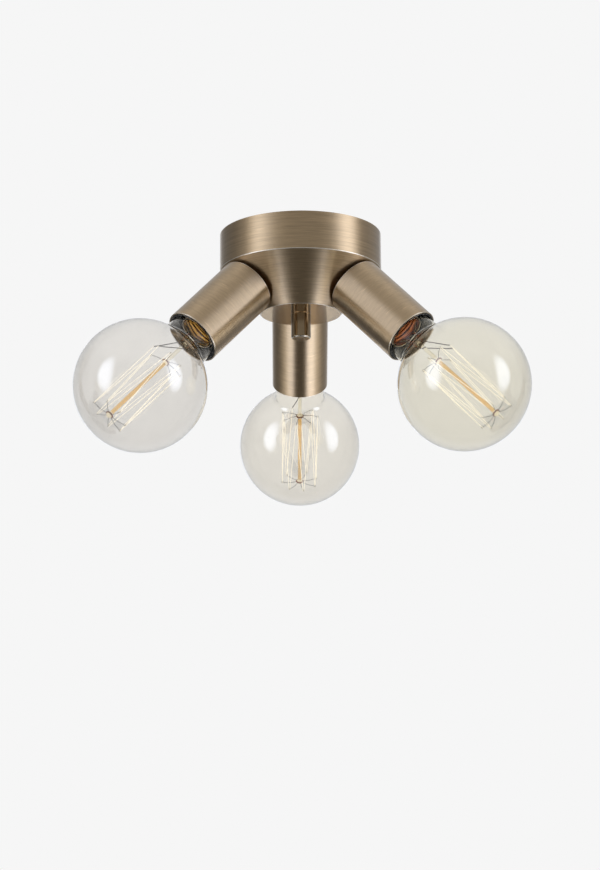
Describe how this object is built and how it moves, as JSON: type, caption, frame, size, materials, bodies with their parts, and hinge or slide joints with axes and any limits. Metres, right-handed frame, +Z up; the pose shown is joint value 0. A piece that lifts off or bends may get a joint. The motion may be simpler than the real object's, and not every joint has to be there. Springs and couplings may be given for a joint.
{
  "type": "semi flush ceiling light",
  "caption": "Semi flush ceiling light: a short round canopy with a conical underside carries splayed cylinder cups, each with a clear globe filament bulb, round a central finial nut.",
  "frame": {"origin": "centre of the ceiling bracket's two slots, on the face that lies on the ceiling, level with the canopy's open rim", "axes": "+Z up into the ceiling along the centre stud; +X along the bracket's length; +Y towards the single lamp at the back"},
  "size_m": [0.3228, 0.2922, 0.1784],
  "materials": {
    "zinc_steel": "zinc plated, dull bright",
    "plated_steel": "yellow-white zinc plated",
    "block_plastic": "moulded nylon, off-white",
    "terminal_brass": "drawn brass, bright",
    "terminal_screw_steel": "plated steel, slotted",
    "antique_brass": "antique brass, brushed round the axis, lacquered",
    "holder_black": "moulded, glossy black",
    "holder_ceramic": "glazed, off-white",
    "contact_brass": "pressed brass sheet",
    "bulb_glass": "clear blown glass with a light warm tint",
    "bulb_cap_brass": "pressed brass sheet, satin",
    "cap_glass": "black vitrite glass",
    "cap_solder": "solder over brass",
    "stem_glass": "clear glass rod and flare, amber",
    "filament_wire": "carbon-type wire, warm",
    "support_wire": "thin molybdenum wire, dark",
    "live_insulation": "heat-resistant silicone, brown, satin",
    "neutral_insulation": "heat-resistant silicone, blue, satin",
    "earth_insulation": "silicone, green with a yellow stripe, satin"
  },
  "bodies": {
    "ceiling_side": {"ceiling_bracket": "zinc_steel", "center_stud": "plated_steel", "stud_nuts": "plated_steel", "terminal_block": "block_plastic", "terminal_sleeves": "terminal_brass", "terminal_screws": "terminal_screw_steel", "terminal_block_screws": "zinc_steel", "earth_screw": "zinc_steel", "earth_washer": "zinc_steel", "live_leads": "live_insulation", "neutral_leads": "neutral_insulation", "earth_lead": "earth_insulation"},
    "canopy": {"canopy_shell": "antique_brass", "lamp_nipples": "plated_steel", "lamp_lock_washers": "plated_steel", "lamp_lock_nuts": "plated_steel", "cup_back": "antique_brass", "holder_cap_back": "holder_black", "holder_insert_back": "holder_ceramic", "holder_skirt_back": "holder_black", "screw_shell_back": "contact_brass", "center_contact_back": "contact_brass", "cup_left": "antique_brass", "holder_cap_left": "holder_black", "holder_insert_left": "holder_ceramic", "holder_skirt_left": "holder_black", "screw_shell_left": "contact_brass", "center_contact_left": "contact_brass", "cup_right": "antique_brass", "holder_cap_right": "holder_black", "holder_insert_right": "holder_ceramic", "holder_skirt_right": "holder_black", "screw_shell_right": "contact_brass", "center_contact_right": "contact_brass"},
    "finial": {"finial_nut": "antique_brass"},
    "bulb_back_tip": {"cap_contact_back": "cap_solder"},
    "bulb_back": {"globe_back": "bulb_glass", "bulb_cap_back": "bulb_cap_brass", "cap_insulator_back": "cap_glass", "stem_back": "stem_glass", "filament_back": "filament_wire", "filament_supports_back": "support_wire", "lead_in_wires_back": "support_wire"},
    "bulb_left_tip": {"cap_contact_left": "cap_solder"},
    "bulb_left": {"globe_left": "bulb_glass", "bulb_cap_left": "bulb_cap_brass", "cap_insulator_left": "cap_glass", "stem_left": "stem_glass", "filament_left": "filament_wire", "filament_supports_left": "support_wire", "lead_in_wires_left": "support_wire"},
    "bulb_right_tip": {"cap_contact_right": "cap_solder"},
    "bulb_right": {"globe_right": "bulb_glass", "bulb_cap_right": "bulb_cap_brass", "cap_insulator_right": "cap_glass", "stem_right": "stem_glass", "filament_right": "filament_wire", "filament_supports_right": "support_wire", "lead_in_wires_right": "support_wire"}
  },
  "joints": [
    {"name": "canopy_lower", "type": "slide", "parent": "ceiling_side", "child": "canopy", "axis": [0, 0, -1], "range_m": [0, 0.012], "deforming": ["live_leads", "neutral_leads"]},
    {"name": "finial_turn", "type": "hinge", "parent": "canopy", "child": "finial", "pos_m": [0, 0, -0.0605], "axis": [0, 0, -1], "range_deg": [0, 4320]},
    {"name": "bulb_back_out", "type": "slide", "parent": "canopy", "child": "bulb_back_tip", "axis": [0, 0.7073, -0.7069], "range_m": [0, 0.02545]},
    {"name": "bulb_back_turn", "type": "hinge", "parent": "bulb_back_tip", "child": "bulb_back", "pos_m": [0, 0.04475, -0.04425], "axis": [0, 0.7073, -0.7069], "range_deg": [0, 2520]},
    {"name": "bulb_left_out", "type": "slide", "parent": "canopy", "child": "bulb_left_tip", "axis": [-0.6126, -0.3537, -0.7069], "range_m": [0, 0.02545]},
    {"name": "bulb_left_turn", "type": "hinge", "parent": "bulb_left_tip", "child": "bulb_left", "pos_m": [-0.03875, -0.02237, -0.04425], "axis": [-0.6126, -0.3537, -0.7069], "range_deg": [0, 2520]},
    {"name": "bulb_right_out", "type": "slide", "parent": "canopy", "child": "bulb_right_tip", "axis": [0.6126, -0.3537, -0.7069], "range_m": [0, 0.02545]},
    {"name": "bulb_right_turn", "type": "hinge", "parent": "bulb_right_tip", "child": "bulb_right", "pos_m": [0.03875, -0.02237, -0.04425], "axis": [0.6126, -0.3537, -0.7069], "range_deg": [0, 2520]}
  ],
  "couplings": [
    {"joint": "finial_turn", "follows": "canopy_lower", "rad_per_m": 6283.2},
    {"joint": "bulb_back_out", "follows": "bulb_back_turn", "m_per_rad": 0.00057757},
    {"joint": "bulb_left_out", "follows": "bulb_left_turn", "m_per_rad": 0.00057757},
    {"joint": "bulb_right_out", "follows": "bulb_right_turn", "m_per_rad": 0.00057757}
  ]
}
